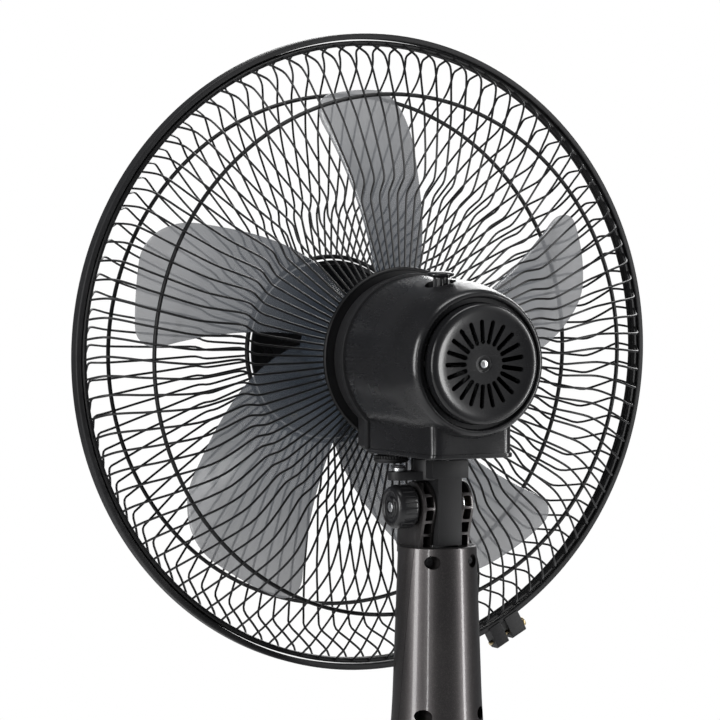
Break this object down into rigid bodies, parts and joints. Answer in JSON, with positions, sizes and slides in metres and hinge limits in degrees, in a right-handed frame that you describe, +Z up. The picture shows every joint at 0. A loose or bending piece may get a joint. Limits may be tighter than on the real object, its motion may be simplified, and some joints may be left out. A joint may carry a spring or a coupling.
{
  "type": "pedestal fan",
  "caption": "Pedestal fan with wire guards, smoky swept blades, swinging and tilting motor head, control column, telescopic pole and round weighted base.",
  "frame": {"origin": "on the floor, at the centre of the round base, under the pole", "axes": "+Z up along the pole, air leaves towards -Y, +X is the side of the tilt knob"},
  "size_m": [0.46, 0.4, 1.12],
  "materials": {
    "gloss_black": "semi-gloss black moulded plastic",
    "matte_black": "fine matt black moulded plastic",
    "painted_black": "black painted steel tube",
    "gunmetal": "plastic sprayed in dark metallic grey",
    "wire_black": "black powder coat on steel wire",
    "smoke": "smoky translucent plastic",
    "steel": "bright turned steel",
    "zinc": "yellow zinc plated steel",
    "chrome": "polished chrome plate",
    "iron": "bare iron and electrical steel",
    "aluminium": "die cast aluminium",
    "copper": "enamelled copper wire",
    "bronze": "sintered bronze",
    "nylon": "natural nylon",
    "rubber": "soft black rubber"
  },
  "bodies": {
    "stand": {"base_cover": "gloss_black", "base_weight": "iron", "base_pad_ring": "rubber", "pole_bolt": "zinc", "outer_pole": "painted_black", "pole_collar": "gloss_black", "height_collet": "nylon"},
    "lock_nut": {"height_lock_nut": "matte_black"},
    "mast": {"inner_tube": "chrome", "tube_socket": "matte_black", "column_front_shell": "gunmetal", "column_rear_shell": "gunmetal", "column_screw_upper_left": "iron", "column_screw_upper_right": "iron", "column_screw_lower_left": "iron", "column_screw_lower_right": "iron", "control_panel": "gloss_black", "switch_block": "nylon", "timer_unit": "nylon", "cord_gland": "rubber", "tilt_bolt": "steel", "tilt_washer": "zinc"},
    "key_0": {"speed_key_0": "matte_black"},
    "key_1": {"speed_key_1": "matte_black"},
    "key_2": {"speed_key_2": "matte_black"},
    "key_3": {"speed_key_3": "matte_black"},
    "timer_dial": {"timer_knob": "matte_black"},
    "tilt_handwheel": {"tilt_knob": "gloss_black"},
    "neck": {"tilt_bracket": "matte_black", "link_pin": "iron"},
    "link": {"crank_link": "steel"},
    "crank": {"crank_disc": "matte_black"},
    "idler": {"idler_gear": "nylon"},
    "pinion": {"clutch_pinion": "nylon"},
    "head": {"idler_stud": "steel", "pan_spindle": "steel", "gearbox_case": "aluminium", "stator_core": "iron", "winding_front": "copper", "winding_rear": "copper", "motor_front_bracket": "aluminium", "motor_rear_bracket": "aluminium", "front_bush": "bronze", "rear_bush": "bronze", "housing_shell": "gloss_black", "front_cover": "matte_black", "rear_cap": "gloss_black", "rear_cap_screw": "steel", "rear_guard": "wire_black", "front_guard": "wire_black", "guard_band": "matte_black", "band_screw": "zinc", "guard_nut": "matte_black", "front_badge": "gloss_black"},
    "pull_knob": {"oscillation_knob": "gloss_black"},
    "wheel": {"worm_wheel": "nylon"},
    "rotor": {"motor_shaft": "steel", "rotor_core": "iron", "impeller": "smoke", "blade_nut": "matte_black"}
  },
  "joints": [
    {"name": "height_slide", "type": "slide", "parent": "stand", "child": "mast", "axis": [0, 0, 1], "range_m": [0, 0.2]},
    {"name": "lock_nut_turn", "type": "hinge", "parent": "stand", "child": "lock_nut", "pos_m": [0, 0, 0.46], "axis": [0, 0, 1], "range_deg": [0, 90]},
    {"name": "key_0_press", "type": "slide", "parent": "mast", "child": "key_0", "axis": [0, 1, 0], "range_m": [0, 0.003], "stiffness_N_per_m": 300, "springref_m": -0.001},
    {"name": "key_1_press", "type": "slide", "parent": "mast", "child": "key_1", "axis": [0, 1, 0], "range_m": [0, 0.003], "stiffness_N_per_m": 300, "springref_m": -0.001},
    {"name": "key_2_press", "type": "slide", "parent": "mast", "child": "key_2", "axis": [0, 1, 0], "range_m": [0, 0.003], "stiffness_N_per_m": 300, "springref_m": -0.001},
    {"name": "key_3_press", "type": "slide", "parent": "mast", "child": "key_3", "axis": [0, 1, 0], "range_m": [0, 0.003], "stiffness_N_per_m": 300, "springref_m": -0.001},
    {"name": "timer_turn", "type": "hinge", "parent": "mast", "child": "timer_dial", "pos_m": [0, -0.046, 0.604], "axis": [0, -1, 0], "range_deg": [-300, 0]},
    {"name": "tilt_knob_turn", "type": "hinge", "parent": "mast", "child": "tilt_handwheel", "pos_m": [0.03, 0, 0.788], "axis": [1, 0, 0], "range_deg": [0, 540]},
    {"name": "tilt", "type": "hinge", "parent": "mast", "child": "neck", "pos_m": [0, 0, 0.788], "axis": [-1, 0, 0], "range_deg": [-10, 20]},
    {"name": "pan", "type": "hinge", "parent": "neck", "child": "head", "pos_m": [0, 0, 0.82], "axis": [0, 0, 1], "range_deg": [-40, 40]},
    {"name": "crank_turn", "type": "hinge", "parent": "head", "child": "crank", "pos_m": [0.026, -0.02, 0.82], "axis": [0, 0, 1], "range_deg": [-90, 90]},
    {"name": "idler_turn", "type": "hinge", "parent": "head", "child": "idler", "pos_m": [0.012, 0, 0.833], "axis": [0, 0, 1], "range_deg": [-53.7, 53.7]},
    {"name": "pinion_turn", "type": "hinge", "parent": "head", "child": "pinion", "pos_m": [0.012, 0.027, 0.833], "axis": [0, 0, 1], "range_deg": [-69.9, 69.9]},
    {"name": "link_swing", "type": "hinge", "parent": "neck", "child": "link", "pos_m": [0.029, -0.002, 0.814], "axis": [0, 0, 1], "range_deg": [-14, 14]},
    {"name": "pull_knob_slide", "type": "slide", "parent": "head", "child": "pull_knob", "axis": [0, 0, 1], "range_m": [-0.008, 0]},
    {"name": "blade_spin", "type": "hinge", "parent": "head", "child": "rotor", "pos_m": [0, -0.108, 0.89], "axis": [0, -1, 0], "continuous": true},
    {"name": "worm_wheel_spin", "type": "hinge", "parent": "head", "child": "wheel", "pos_m": [0.012, 0.027, 0.89], "axis": [0, 0, 1], "continuous": true}
  ],
  "couplings": [
    {"joint": "crank_turn", "follows": "pan", "ratio": 2.25},
    {"joint": "idler_turn", "follows": "pan", "ratio": -1.3411},
    {"joint": "pinion_turn", "follows": "pan", "ratio": 1.7457},
    {"joint": "link_swing", "follows": "pan", "ratio": 0.35},
    {"joint": "worm_wheel_spin", "follows": "blade_spin", "ratio": 0.025}
  ]
}
